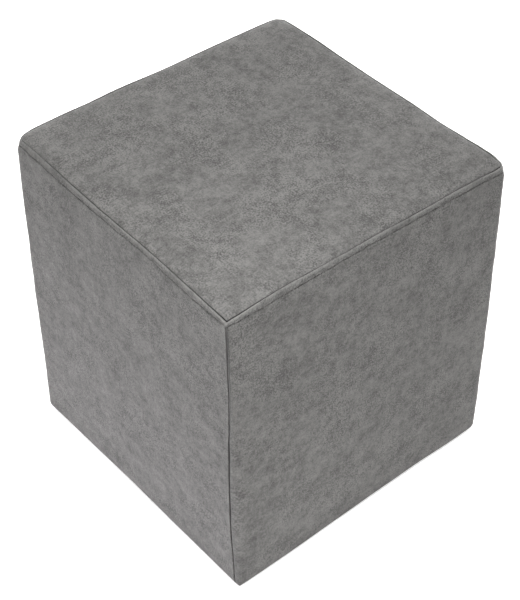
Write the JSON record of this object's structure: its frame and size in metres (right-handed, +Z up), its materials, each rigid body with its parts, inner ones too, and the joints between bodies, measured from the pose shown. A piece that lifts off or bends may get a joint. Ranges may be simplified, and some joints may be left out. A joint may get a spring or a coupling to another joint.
{
  "type": "cube pouf stool",
  "caption": "Firm cube-shaped pouf stool in grey suede-look cloth: a softly crowned seat panel, a wrapped side strip with a topstitched band and an upright seam, and a plain cloth base.",
  "frame": {"origin": "on the floor under the middle of the base", "axes": "+Z up; the front corner, with the upright seam beside it, points to -X -Y, so the two faces seen from the front are the -X face and the -Y face"},
  "size_m": [0.4016, 0.4002, 0.435],
  "materials": {
    "cover": "mid-grey suede-look microfibre, matt, with cloudy shading and a fine pebbled nap, sewn with thread of the same grey",
    "base": "plain charcoal non-woven base cloth, matt"
  },
  "bodies": {
    "root": {"top_panel": "cover", "side_panel": "cover", "base_panel": "base"}
  },
  "joints": []
}
